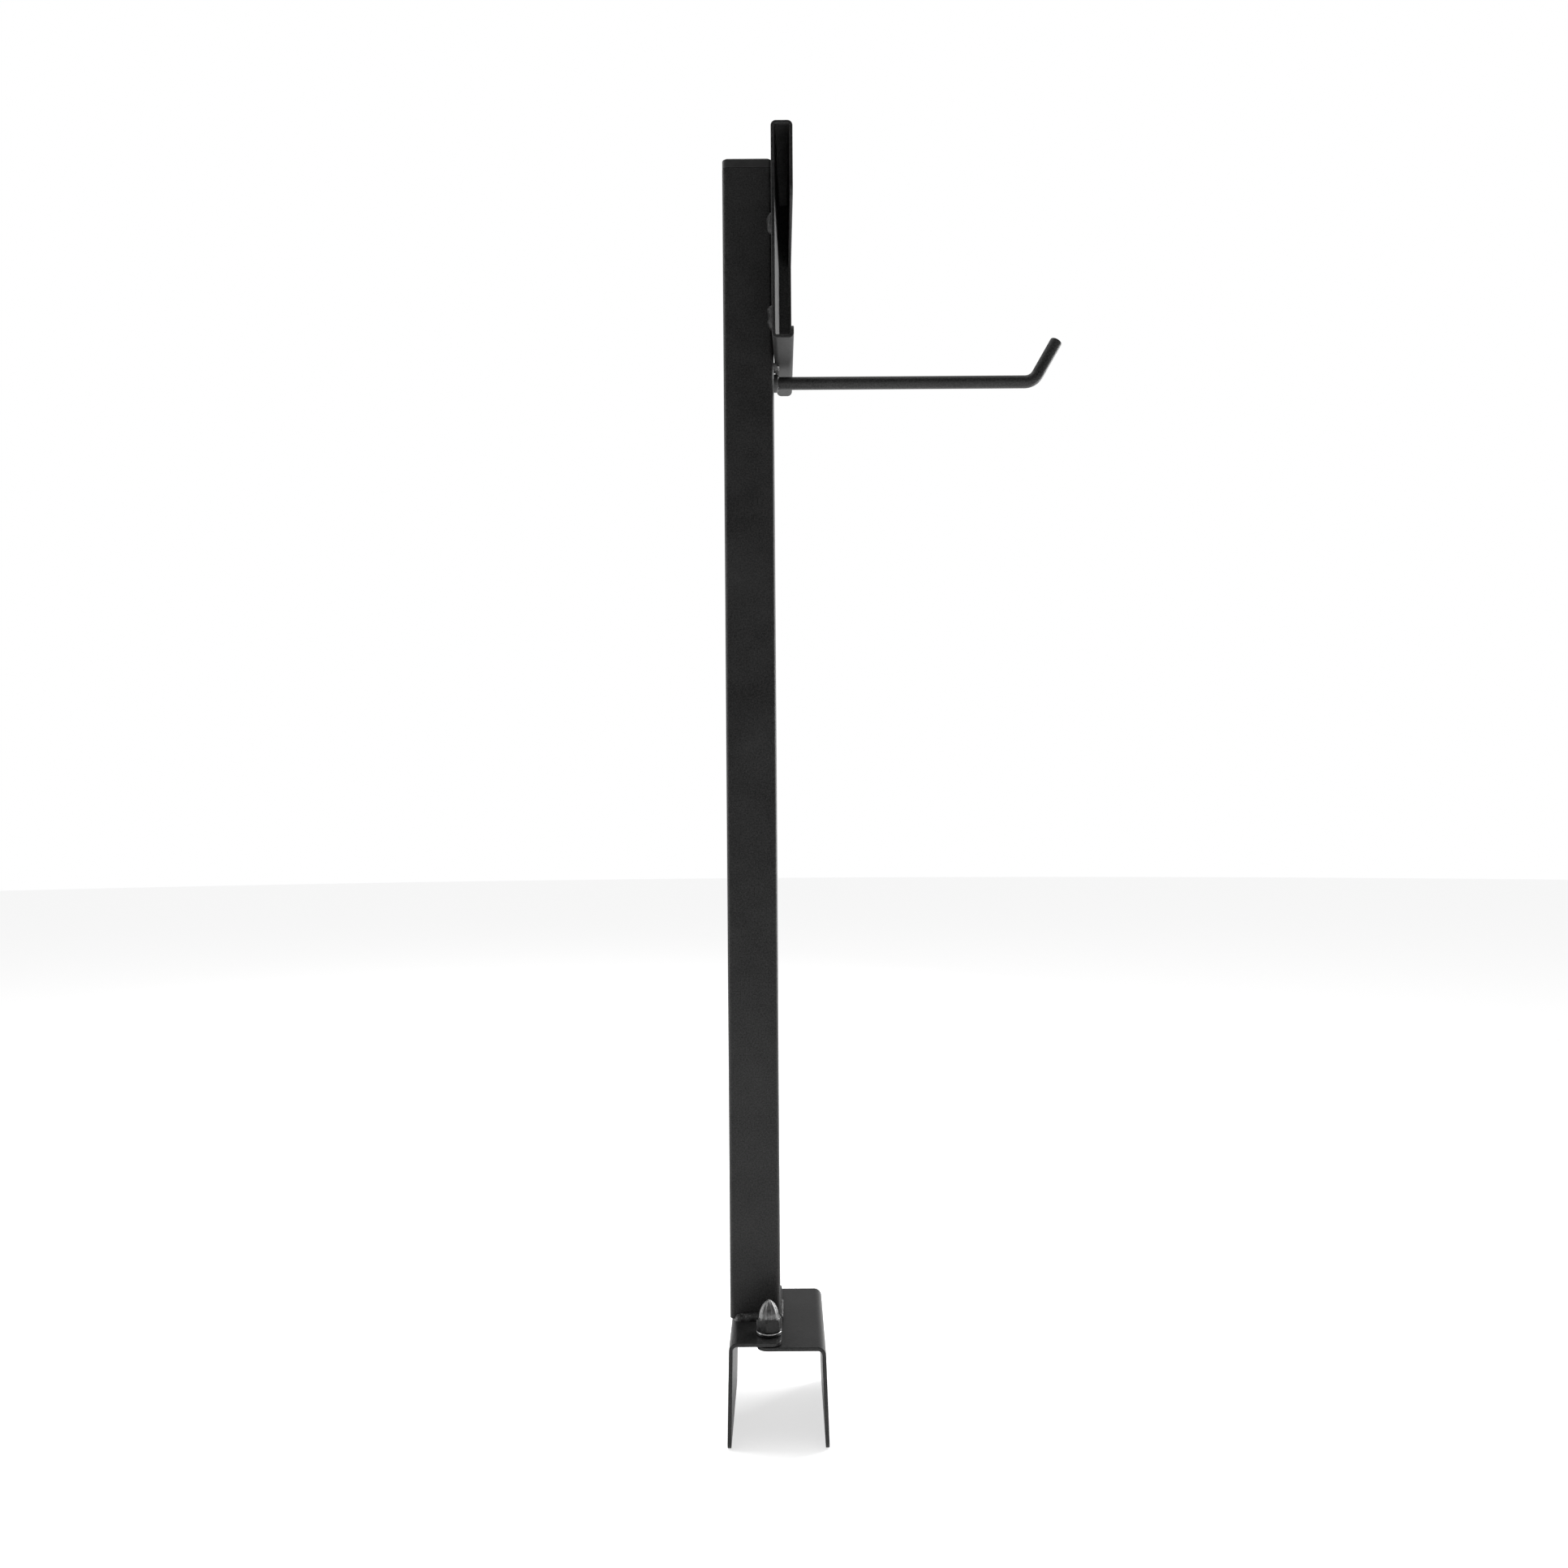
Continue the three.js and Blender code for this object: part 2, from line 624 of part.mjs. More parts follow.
const sideFoot = bead(
  [HALF, SIDE_WELD_NEAR, PLATE_TOP], [HALF, SIDE_WELD_FAR, PLATE_TOP], SIDE_WELD,
  block(rightFace, rightFace + SPARE, -TUBE_SIDE, TUBE_SIDE, weldFloor, weldCeiling),
);
const underZ = POCKET_BOTTOM - 1;
const pocketUnder = bead(
  [HALF + 1, UNDER_WELD_NEAR, underZ], [HALF + 1.4, UNDER_WELD_FAR, underZ], UNDER_WELD,
  block(rightFace, rightFace + SPARE, -HALF, 0, underZ - SPARE, POCKET_BOTTOM - GAP),
);

// The bead round the hook's root is a cone of metal between the wire and the post.
function hookRootWeld() {
  const bore = HOOK_RADIUS + GAP;
  const profile = [
    new THREE.Vector2(bore, 0),
    new THREE.Vector2(bore + HOOK_WELD_FLARE, 0),
    new THREE.Vector2(bore + HOOK_WELD_FLARE * 0.62, HOOK_WELD_LENGTH * 0.45),
    new THREE.Vector2(bore + HOOK_WELD_FLARE * 0.2, HOOK_WELD_LENGTH),
    new THREE.Vector2(bore, HOOK_WELD_LENGTH),
    new THREE.Vector2(bore, 0),
  ];
  const ring = new THREE.LatheGeometry(profile, 32);
  ring.rotateZ(-Math.PI / 2);
  ring.translate(rightFace, 0, HOOK_Z);
  return ring;
}

add("foot_weld_near", footBead(-HALF, nearFace), weldCoat);
add("foot_weld_far", footBead(HALF, farFace), weldCoat);
add("foot_weld_side", sideFoot, weldCoat);
add("pocket_weld_upper", pocketBead(UPPER_WELD_LOW, UPPER_WELD_HIGH), weldCoat);
add("pocket_weld_lower", pocketBead(LOWER_WELD_LOW, LOWER_WELD_HIGH), weldCoat);
add("pocket_weld_under", pocketUnder, weldCoat);
add("hook_weld", hookRootWeld(), weldCoat);

export default model;
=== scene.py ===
"""The looks of a rail-clamp display post: a square post on a two-part saddle that is clamped
over a rail by a bolt and a dome nut, with a card pocket and a wire hook near its top."""

import math

import bmesh
import bpy
from mathutils import Matrix, Vector, noise


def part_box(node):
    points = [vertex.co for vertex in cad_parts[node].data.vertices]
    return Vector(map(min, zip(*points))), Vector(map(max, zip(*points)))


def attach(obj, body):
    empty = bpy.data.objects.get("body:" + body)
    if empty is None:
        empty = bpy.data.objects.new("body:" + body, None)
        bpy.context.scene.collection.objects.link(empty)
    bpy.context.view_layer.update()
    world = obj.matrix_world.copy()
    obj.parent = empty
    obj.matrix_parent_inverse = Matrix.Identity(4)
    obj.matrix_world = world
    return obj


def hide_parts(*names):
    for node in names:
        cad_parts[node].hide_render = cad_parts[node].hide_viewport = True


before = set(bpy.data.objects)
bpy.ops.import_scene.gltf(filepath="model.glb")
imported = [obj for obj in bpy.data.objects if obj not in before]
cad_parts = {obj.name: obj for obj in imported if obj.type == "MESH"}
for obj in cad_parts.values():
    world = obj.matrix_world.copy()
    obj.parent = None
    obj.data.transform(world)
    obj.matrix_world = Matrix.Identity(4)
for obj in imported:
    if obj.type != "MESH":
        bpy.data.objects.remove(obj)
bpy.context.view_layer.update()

# ---------------------------------------------------------------- driving sizes, in metres

MM = 0.001
EDGE_ROUND = 0.35 * MM  # how far the coating rounds a cut edge

TUBE_WALL = 1.65 * MM
TUBE_CORNER = 2.2 * MM

SADDLE_SHEET = 1.9 * MM
SADDLE_BEND = 2.1 * MM  # inside radius
FIXED_FLARE = 1.2  # degrees that each leg opens outwards
SLIDING_FLARE = 1.8
FIXED_LEG_FACE = -12.1 * MM  # outer face of the fixed leg where its bend ends
SLIDING_LEG_FACE = 34.85 * MM
PLATE_CORNER = 5 * MM
LEG_CORNER = 3 * MM

BOLT_X = 7.2 * MM
BOLT_Y = -31.1 * MM
BOLT_RADIUS = 3.1 * MM
BOLT_HOLE = 3.5 * MM
NECK_HALF = 3.25 * MM
THREAD_PITCH = 1.27 * MM
SLOT_END = 12.2 * MM

NUT_FLATS = 11.2 * MM
NUT_HEX = 5.8 * MM
NUT_DOME = 5 * MM
NUT_TURN = math.radians(-100)

POCKET_SHEET = 1.7 * MM
POCKET_BEND = 0.8 * MM
POCKET_LEFT_NEAR = 12.2 * MM
POCKET_LEFT_FAR = 14.1 * MM
POCKET_RIGHT_NEAR = 22.8 * MM
POCKET_RIGHT_FAR = 22.35 * MM
UPPER_LIP = 35 * MM
LOWER_LIP = 7 * MM
LIP_CORNER = 4 * MM

HOOK_RADIUS = 3.175 * MM
HOOK_BEND_X = 142 * MM
HOOK_BEND_RADIUS = 7.9 * MM
HOOK_RISE = math.radians(60)
HOOK_TIP = 19.5 * MM

SUNK = 0.4 * MM  # how far a weld reaches into what it joins
FOOT_BEAD = 3.4 * MM  # radii of the welds
SIDE_BEAD = 1.5 * MM
POCKET_BEAD = 3.1 * MM
UNDER_BEAD = 2.9 * MM

TUBE_LOW, TUBE_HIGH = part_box("upright_tube")
PLUG_LOW, PLUG_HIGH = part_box("tube_end_plug")
FIXED_LOW, FIXED_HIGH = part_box("fixed_bracket")
SLIDING_LOW, SLIDING_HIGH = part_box("sliding_bracket")
POCKET_LOW, POCKET_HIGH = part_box("card_pocket")
HOOK_LOW, HOOK_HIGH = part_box("hook_wire")
BOLT_LOW, BOLT_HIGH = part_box("carriage_bolt")
FLAT_LOW, FLAT_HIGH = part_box("flat_washer")
LOCK_LOW, LOCK_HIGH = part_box("lock_washer")
NUT_LOW, NUT_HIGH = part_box("dome_nut")

HALF = TUBE_HIGH.x
NEAR = FIXED_LOW.y
FAR = FIXED_HIGH.y
PLATE = FIXED_HIGH.z
SLIDING_UNDERSIDE = SLIDING_HIGH.z - SADDLE_SHEET

RIGHT, LEFT = (1, 0, 0), (-1, 0, 0)
FARWARD, NEARWARD = (0, 1, 0), (0, -1, 0)
UP, DOWN = (0, 0, 1), (0, 0, -1)


# ---------------------------------------------------------------- node helpers


def new_material(name):
    """A material, its node tree and its Principled shader."""
    material = bpy.data.materials.new(name)
    material.use_nodes = True
    tree = material.node_tree
    return material, tree, tree.nodes["Principled BSDF"]


def make_node(tree, kind, inputs=None, **settings):
    """A node with its settings, and its inputs linked or set."""
    node = tree.nodes.new(kind)
    for key, value in settings.items():
        setattr(node, key, value)
    for key, value in (inputs or {}).items():
        if isinstance(value, bpy.types.NodeSocket):
            tree.links.new(value, node.inputs[key])
        else:
            node.inputs[key].default_value = value
    return node


def place_of(tree):
    """The object's own coordinates, in metres."""
    return make_node(tree, "ShaderNodeTexCoord").outputs["Object"]


def grain(tree, place, size, detail=2.0, roughness=0.5):
    """Noise whose features are about size metres across."""
    inputs = {"Vector": place, "Scale": 1 / size, "Detail": detail, "Roughness": roughness}
    return make_node(tree, "ShaderNodeTexNoise", inputs).outputs["Fac"]


def remap(tree, value, low, high, to_low, to_high):
    """A value spread from one range to another, held at its ends."""
    inputs = {"Value": value, "From Min": low, "From Max": high, "To Min": to_low, "To Max": to_high}
    return make_node(tree, "ShaderNodeMapRange", inputs).outputs["Result"]


def blend_greys(tree, value, low, high):
    """A grey between two levels."""
    node = make_node(tree, "ShaderNodeMix", data_type="RGBA")
    tree.links.new(value, node.inputs["Factor"])
    node.inputs[6].default_value = (low, low, low, 1)
    node.inputs[7].default_value = (high, high, high, 1)
    return node.outputs[2]


def add_values(tree, a, b, weight=1.0):
    """a plus weight times b."""
    inputs = {0: b, 1: weight, 2: a}
    return make_node(tree, "ShaderNodeMath", inputs, operation="MULTIPLY_ADD").outputs[0]


def relief(tree, height, depth, normal=None):
    """A bump of the given depth in metres."""
    inputs = {"Height": height, "Distance": depth, "Strength": 1.0}
    if normal is not None:
        inputs["Normal"] = normal
    return make_node(tree, "ShaderNodeBump", inputs).outputs["Normal"]


def edge_mask(tree, radius):
    """One along sharp outside edges and nought on flats."""
    soft = make_node(tree, "ShaderNodeBevel", {"Radius": radius}, samples=4).outputs["Normal"]
    flat = make_node(tree, "ShaderNodeNewGeometry").outputs["Normal"]
    inputs = {0: soft, 1: flat}
    dot = make_node(tree, "ShaderNodeVectorMath", inputs, operation="DOT_PRODUCT").outputs["Value"]
    return remap(tree, dot, 0.985, 0.86, 0.0, 1.0)


# ---------------------------------------------------------------- materials


def powder_coat():
    """Satin black powder coat: a fine sandy skin over slight orange peel."""
    material, tree, shader = new_material("powder_coat_black")
    place = place_of(tree)
    sand = grain(tree, place, 0.75 * MM, 3.0, 0.75)
    peel = grain(tree, place, 1.9 * MM, 1.0)
    cloud = grain(tree, place, 24 * MM, 3.0)
    tone = add_values(tree, sand, cloud, 0.35)
    specks = make_node(tree, "ShaderNodeTexVoronoi", {"Vector": place, "Scale": 1 / (7 * MM)})
    speck = remap(tree, specks.outputs["Distance"], 0.025, 0.045, 1.0, 0.0)
    tone = add_values(tree, remap(tree, tone, 0.5, 0.85, 0.0, 1.0), speck, 1.5)
    colour = blend_greys(tree, tone, 0.001, 0.030)
    tree.links.new(colour, shader.inputs["Base Color"])
    rough = remap(tree, add_values(tree, sand, cloud, 0.6), 0.5, 1.1, 0.37, 0.50)
    tree.links.new(rough, shader.inputs["Roughness"])
    shallow = relief(tree, peel, 0.03 * MM)
    fine = relief(tree, sand, 0.09 * MM, shallow)
    tree.links.new(fine, shader.inputs["Normal"])
    shader.inputs["IOR"].default_value = 1.38
    return material


def coated_weld():
    """Powder coat that has run over a weld, glossier and with pits."""
    material, tree, shader = new_material("coated_weld_black")
    place = place_of(tree)
    sand = grain(tree, place, 0.5 * MM, 3.0, 0.6)
    lumps = grain(tree, place, 2.2 * MM, 2.0)
    pits = make_node(tree, "ShaderNodeTexVoronoi", {"Vector": place, "Scale": 1 / (2.6 * MM)})
    pit = remap(tree, pits.outputs["Distance"], 0.06, 0.16, 0.0, 1.0)
    colour = blend_greys(tree, remap(tree, add_values(tree, sand, lumps), 0.7, 1.3, 0.0, 1.0), 0.012, 0.042)
    tree.links.new(colour, shader.inputs["Base Color"])
    tree.links.new(remap(tree, lumps, 0.3, 0.7, 0.34, 0.52), shader.inputs["Roughness"])
    first = relief(tree, pit, 0.08 * MM)
    second = relief(tree, lumps, 0.12 * MM, first)
    third = relief(tree, sand, 0.03 * MM, second)
    tree.links.new(third, shader.inputs["Normal"])
    shader.inputs["IOR"].default_value = 1.5
    return material


def plug_plastic():
    """Moulded black polyethylene with a spark-eroded grain."""
    material, tree, shader = new_material("plug_plastic_black")
    place = place_of(tree)
    grit = grain(tree, place, 0.35 * MM, 2.0, 0.6)
    flow = grain(tree, place, 9 * MM, 2.0)
    colour = blend_greys(tree, remap(tree, flow, 0.3, 0.7, 0.0, 1.0), 0.013, 0.021)
    tree.links.new(colour, shader.inputs["Base Color"])
    rough = remap(tree, add_values(tree, grit, flow, 0.5), 0.4, 1.1, 0.38, 0.56)
    tree.links.new(rough, shader.inputs["Roughness"])
    tree.links.new(relief(tree, grit, 0.02 * MM), shader.inputs["Normal"])
    shader.inputs["IOR"].default_value = 1.5
    return material


def dark_plated(name, wear):
    """Black zinc: the dome has a painted highlight that lightens it in vertical streaks, and edges are
    lighter by the amount of wear.
    """
    material, tree, shader = new_material(name)
    place = place_of(tree)
    centred = make_node(
        tree, "ShaderNodeVectorMath", {0: place, 1: (BOLT_X, BOLT_Y, 0)}, operation="SUBTRACT"
    ).outputs[0]
    axes = make_node(tree, "ShaderNodeSeparateXYZ", {0: centred}).outputs
    bearing = make_node(tree, "ShaderNodeMath", {0: axes["Y"], 1: axes["X"]}, operation="ARCTAN2").outputs[0]
    round_place = make_node(tree, "ShaderNodeCombineXYZ", {"X": bearing, "Y": axes["Z"]}).outputs[0]
    # vertical streaks round the bolt's axis, used for the dome's painted highlight and for a slight bump
    stretched = make_node(
        tree, "ShaderNodeVectorMath", {0: round_place, 1: (5.0, 60.0, 0.0)}, operation="MULTIPLY"
    ).outputs[0]
    streak_inputs = {"Vector": stretched, "Scale": 1.6, "Detail": 3.0, "Roughness": 0.55}
    streak = make_node(tree, "ShaderNodeTexNoise", streak_inputs).outputs["Fac"]
    mottle = grain(tree, place, 1.1 * MM, 3.0, 0.6)
    worn = edge_mask(tree, 0.35 * MM)
    # painted highlight: the dome above the hexagon is painted lighter, in vertical streaks
    hex_high = NUT_LOW.z + NUT_HEX
    painted_dome_highlight = remap(tree, axes["Z"], hex_high - 0.2 * MM, hex_high + 1.2 * MM, 0.0, 1.0)
    painted_streak_highlight = remap(tree, add_values(tree, streak, mottle, 0.6), 0.55, 1.05, 0.25, 0.95)
    tone = add_values(tree, remap(tree, mottle, 0.3, 0.7, 0.0, 0.08), painted_dome_highlight, painted_streak_highlight)
    tone = add_values(tree, tone, worn, wear)
    colour = blend_greys(tree, tone, 0.018, 0.25)
    tree.links.new(colour, shader.inputs["Base Color"])
    tree.links.new(remap(tree, mottle, 0.3, 0.7, 0.28, 0.46), shader.inputs["Roughness"])
    shader.inputs["Metallic"].default_value = 0.85
    bumps = relief(tree, streak, 0.10 * MM)
    tree.links.new(relief(tree, mottle, 0.02 * MM, bumps), shader.inputs["Normal"])
    return material


def bright_zinc():
    """Clear zinc plate with a faint crystal mottle."""
    material, tree, shader = new_material("bright_zinc_steel")
    place = place_of(tree)
    crystals = make_node(tree, "ShaderNodeTexVoronoi", {"Vector": place, "Scale": 1 / (0.9 * MM)})
    fleck = make_node(tree, "ShaderNodeSeparateColor", {0: crystals.outputs["Color"]}).outputs[0]
    smear = grain(tree, place, 2.5 * MM, 3.0, 0.6)
    tone = add_values(tree, smear, fleck, 0.25)
    colour = blend_greys(tree, remap(tree, tone, 0.3, 0.95, 0.0, 1.0), 0.42, 0.66)
    tree.links.new(colour, shader.inputs["Base Color"])
    tree.links.new(remap(tree, tone, 0.3, 0.95, 0.22, 0.42), shader.inputs["Roughness"])
    shader.inputs["Metallic"].default_value = 1.0
    fine = grain(tree, place, 0.3 * MM, 2.0)
    tree.links.new(relief(tree, fine, 0.008 * MM), shader.inputs["Normal"])
    return material


def floor_paper():
    """Matt white paper on a softly lit table."""
    material, tree, shader = new_material("studio_paper")
    place = place_of(tree)
    fibre = grain(tree, place, 2 * MM, 3.0)
    tree.links.new(blend_greys(tree, fibre, 0.86, 0.90), shader.inputs["Base Color"])
    shader.inputs["Roughness"].default_value = 0.9
    shader.inputs["Specular IOR Level"].default_value = 0.1
    shader.inputs["Emission Color"].default_value = (1, 1, 1, 1)
    shader.inputs["Emission Strength"].default_value = 0.65
    return material


# ---------------------------------------------------------------- mesh helpers


def mesh_piece(name, bm):
    """An object of a bmesh's faces, turned to point out."""
    bmesh.ops.recalc_face_normals(bm, faces=bm.faces)
    mesh = bpy.data.meshes.new(name)
    bm.to_mesh(mesh)
    bm.free()
    for polygon in mesh.polygons:
        polygon.use_smooth = True
    piece = bpy.data.objects.new(name, mesh)
    bpy.context.collection.objects.link(piece)
    return piece


def lofted(name, rings, closed=False):
    """A closed surface through rings of points; the ends are capped unless the rings close on themselves."""
    bm = bmesh.new()
    rows = [[bm.verts.new(point) for point in ring] for ring in rings]
    count = len(rows[0])
    pairs = list(zip(rows, rows[1:]))
    if closed:
        pairs.append((rows[-1], rows[0]))
    for first, second in pairs:
        for i in range(count):
            j = (i + 1) % count
            bm.faces.new((first[i], first[j], second[j], second[i]))
    if not closed:
        bm.faces.new(rows[0][::-1])
        bm.faces.new(rows[-1])
    return mesh_piece(name, bm)


def bolt_ring(reach, z, sides):
    """Points round the bolt's axis, each as far out as reach gives for its angle."""
    ring = []
    for i in range(sides):
        angle = math.tau * i / sides
        radius = reach(angle)
        ring.append((BOLT_X + radius * math.cos(angle), BOLT_Y + radius * math.sin(angle), z))
    return ring


def turned(profile, sides):
    """Rings of a surface turned about the bolt's axis; a profile point is (radius, z)."""
    return [bolt_ring(lambda angle, r=radius: r, z, sides) for radius, z in profile]


def rounded_outline(corners, steps=8):
    """Points round a closed outline whose corners are (x, y, radius)."""
    points = []
    for i, (x, y, radius) in enumerate(corners):
        here = Vector((x, y))
        if radius <= 0:
            points.append(here)
            continue
        before = (Vector(corners[i - 1][:2]) - here).normalized()
        after = (Vector(corners[(i + 1) % len(corners)][:2]) - here).normalized()
        half = before.angle(after) / 2
        centre = here + (before + after).normalized() * (radius / math.sin(half))
        start = here + before * (radius / math.tan(half)) - centre
        end = here + after * (radius / math.tan(half)) - centre
        turn = math.atan2(start.cross(end), start.dot(end))
        for step in range(steps + 1):
            angle = turn * step / steps
            cos, sin = math.cos(angle), math.sin(angle)
            points.append(centre + Vector((start.x * cos - start.y * sin, start.x * sin + start.y * cos)))
    return points


def square_ring(half, radius, z, steps=8):
    """A rounded square about the post's axis at height z."""
    corners = [(half, -half, radius), (half, half, radius), (-half, half, radius), (-half, -half, radius)]
    return [(p.x, p.y, z) for p in rounded_outline(corners, steps)]


def arc_steps(count):
    """Parts of a quarter turn, in radians."""
    return [math.pi / 2 * i / count for i in range(count + 1)]


def finish_piece(piece, material, slot, body, *nodes):
    """Gives a piece its finish and its place in the frame."""
    piece.data.materials.append(material)
    piece.modifiers.new("flats", "WEIGHTED_NORMAL").keep_sharp = False
    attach(piece, body)
    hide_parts(*nodes)
    return piece


def apply_boolean(piece, tool, operation):
    """Joins or cuts a piece with a tool, which is used up."""
    modifier = piece.modifiers.new("cut", "BOOLEAN")
    modifier.object = tool
    modifier.operation = operation
    modifier.solver = "EXACT"
    made = bpy.data.meshes.new_from_object(piece.evaluated_get(bpy.context.evaluated_depsgraph_get()))
    piece.modifiers.clear()
    piece.data = made
    bpy.data.objects.remove(tool)
    for polygon in made.polygons:
        polygon.use_smooth = True


# ---------------------------------------------------------------- folded sheet


class Fold:
    """A strip of sheet folded along a path in X and Z.

    Its first face starts at (x, z) and heads along an angle in degrees. A step is a run in
    metres or a turn in degrees, and positive turns go left. Depth counts from the first face
    to the left."""

    def __init__(self, x, z, heading, thickness, inner, steps):
        self.legs = []
        self.lengths = []
        angle = math.radians(heading)
        for kind, amount in steps:
            if kind == "run":
                self.legs.append((kind, x, z, angle, amount, 0))
                self.lengths.append(amount)
                x += math.cos(angle) * amount
                z += math.sin(angle) * amount
                continue
            turn = math.radians(amount)
            radius = inner + thickness if turn > 0 else -inner
            x -= math.sin(angle) * radius
            z += math.cos(angle) * radius
            self.legs.append((kind, x, z, angle, turn, radius))
            self.lengths.append(abs(turn) * (inner + thickness / 2))
            angle += turn
            x += math.sin(angle) * radius
            z -= math.cos(angle) * radius

    def spot(self, leg, part, depth):
        """The place in X and Z of a point at a part of one leg."""
        kind, x, z, angle, amount, radius = self.legs[leg]
        if kind == "run":
            x += math.cos(angle) * amount * part
            z += math.sin(angle) * amount * part
            radius = 0
        else:
            angle += amount * part
        reach = depth - radius
        return x - math.sin(angle) * reach, z + math.cos(angle) * reach

    def locate(self, length):
        """The leg, and the part of it, that a length along the flat strip falls in."""
        for leg, own in enumerate(self.lengths[:-1]):
            if length <= own:
                return leg, length / own
            length -= own
        return len(self.lengths) - 1, length / self.lengths[-1]

    def cuts(self, step=6):
        """The lengths where the flat strip is divided: across its bends, every few degrees."""
        places = []
        start = 0
        for (kind, *_, amount, radius), own in zip(self.legs, self.lengths):
            if kind == "turn":
                parts = round(abs(math.degrees(amount)) / step)
                places += [start + own * i / parts for i in range(parts + 1)]
            start += own
        return places


def in_fixed_order(bm):
    """The same faces in an order set by their corners, as bisecting leaves one that varies."""
    bmesh.ops.recalc_face_normals(bm, faces=bm.faces)
    outlines = []
    for face in bm.faces:
        points = [tuple(vertex.co) for vertex in face.verts]
        first = points.index(min(points))
        outlines.append(points[first:] + points[:first])
    bm.free()
    ordered = bmesh.new()
    corners = {}
    for points in sorted(outlines):
        for point in points:
            if point not in corners:
                corners[point] = ordered.verts.new(point)
        ordered.faces.new([corners[point] for point in points])
    return ordered


def folded_piece(name, outline, thickness, cuts, place):
    """A blank with rounded edges, divided at its bends and folded by place(u, y, depth)."""
    bm = bmesh.new()
    face = bm.faces.new([bm.verts.new((point.x, point.y, 0)) for point in outline])
    made = bmesh.ops.extrude_face_region(bm, geom=[face])["geom"]
    for item in made:
        if isinstance(item, bmesh.types.BMVert):
            item.co.z = thickness
    rims = [e for e in bm.edges if abs(e.verts[0].co.z - e.verts[1].co.z) < thickness / 2]
    bmesh.ops.bevel(
        bm, geom=rims, offset=EDGE_ROUND, offset_type="OFFSET", segments=3, profile=0.5, affect="EDGES"
    )
    for cut in cuts:
        geometry = bm.verts[:] + bm.edges[:] + bm.faces[:]
        bmesh.ops.bisect_plane(bm, geom=geometry, dist=1e-7, plane_co=(cut, 0, 0), plane_no=(1, 0, 0))
    for vertex in bm.verts:
        vertex.co = place(*vertex.co)
    return mesh_piece(name, in_fixed_order(bm))


# ---------------------------------------------------------------- post and plug


def post_tube():
    """The square post: rolled corners, a wall and lightly broken ends."""
    broken = 0.25 * MM
    inner = HALF - TUBE_WALL
    corner = TUBE_CORNER - TUBE_WALL
    low, high = TUBE_LOW.z, TUBE_HIGH.z
    rings = [
        square_ring(HALF - broken, TUBE_CORNER - broken, low),
        square_ring(HALF, TUBE_CORNER, low + broken),
        square_ring(HALF, TUBE_CORNER, high - broken),
        square_ring(HALF - broken, TUBE_CORNER - broken, high),
        square_ring(inner, corner, high),
        square_ring(inner, corner, low),
    ]
    return lofted("coated_post", rings, closed=True)


def end_plug():
    """The plug: a chamfered head with a slight crown, and a hollow insert with gripping ribs."""
    head_low = TUBE_HIGH.z + 0.15 * MM
    chamfer = 1.2 * MM
    soft = 0.25 * MM
    edge = HALF - 0.05 * MM
    top = PLUG_HIGH.z
    insert = HALF - TUBE_WALL - 0.5 * MM
    rings = [square_ring(insert - 1.6 * MM, 0.2 * MM, TUBE_HIGH.z - 1 * MM)]
    rings.append(square_ring(insert - 1.6 * MM, 0.2 * MM, PLUG_LOW.z))
    rings.append(square_ring(insert - 0.4 * MM, 0.4 * MM, PLUG_LOW.z))
    for rib in range(4):
        low = PLUG_LOW.z + (2 + rib * 3.2) * MM
        rings.append(square_ring(insert - 0.3 * MM, 0.4 * MM, low))
        rings.append(square_ring(insert + 0.15 * MM, 0.4 * MM, low + 0.6 * MM))
        rings.append(square_ring(insert - 0.3 * MM, 0.4 * MM, low + 1.1 * MM))
    rings.append(square_ring(insert - 0.3 * MM, 0.4 * MM, head_low))
    rings.append(square_ring(edge - soft, TUBE_CORNER - soft, head_low))
    rings.append(square_ring(edge, TUBE_CORNER, head_low + soft))
    rings.append(square_ring(edge, TUBE_CORNER, top - chamfer - soft))
    rings.append(square_ring(edge - 0.12 * MM, TUBE_CORNER - 0.1 * MM, top - chamfer + 0.05 * MM))
    rings.append(square_ring(edge - chamfer + 0.1 * MM, TUBE_CORNER - 0.5 * MM, top - 0.28 * MM))
    rings.append(square_ring(edge - chamfer - 0.3 * MM, TUBE_CORNER - 0.6 * MM, top - 0.12 * MM))
    for part in (0.75, 0.5, 0.25, 0.05):
        rings.append(square_ring((edge - chamfer) * part, 1.5 * MM * part, top - 0.12 * MM * part))
    return lofted("post_end_plug", rings)


# ---------------------------------------------------------------- rail saddle


def bracket_corners(length, plate_far, slot):
    """A bracket's flat outline: plate's free edge first, leg tip last, and its open slot if it has one."""
    corners = [(0, FAR, plate_far)]
    if slot:
        corners.append((0, BOLT_Y + BOLT_HOLE, 0.8 * MM))
        corners.append((slot, BOLT_Y + BOLT_HOLE, 0.5 * MM))
        corners.append((slot, BOLT_Y - BOLT_HOLE, 0.5 * MM))
        corners.append((0, BOLT_Y - BOLT_HOLE, 0.8 * MM))
    corners.append((0, NEAR, PLATE_CORNER))
    corners.append((length, NEAR, LEG_CORNER))
    corners.append((length, FAR, LEG_CORNER))
    return corners


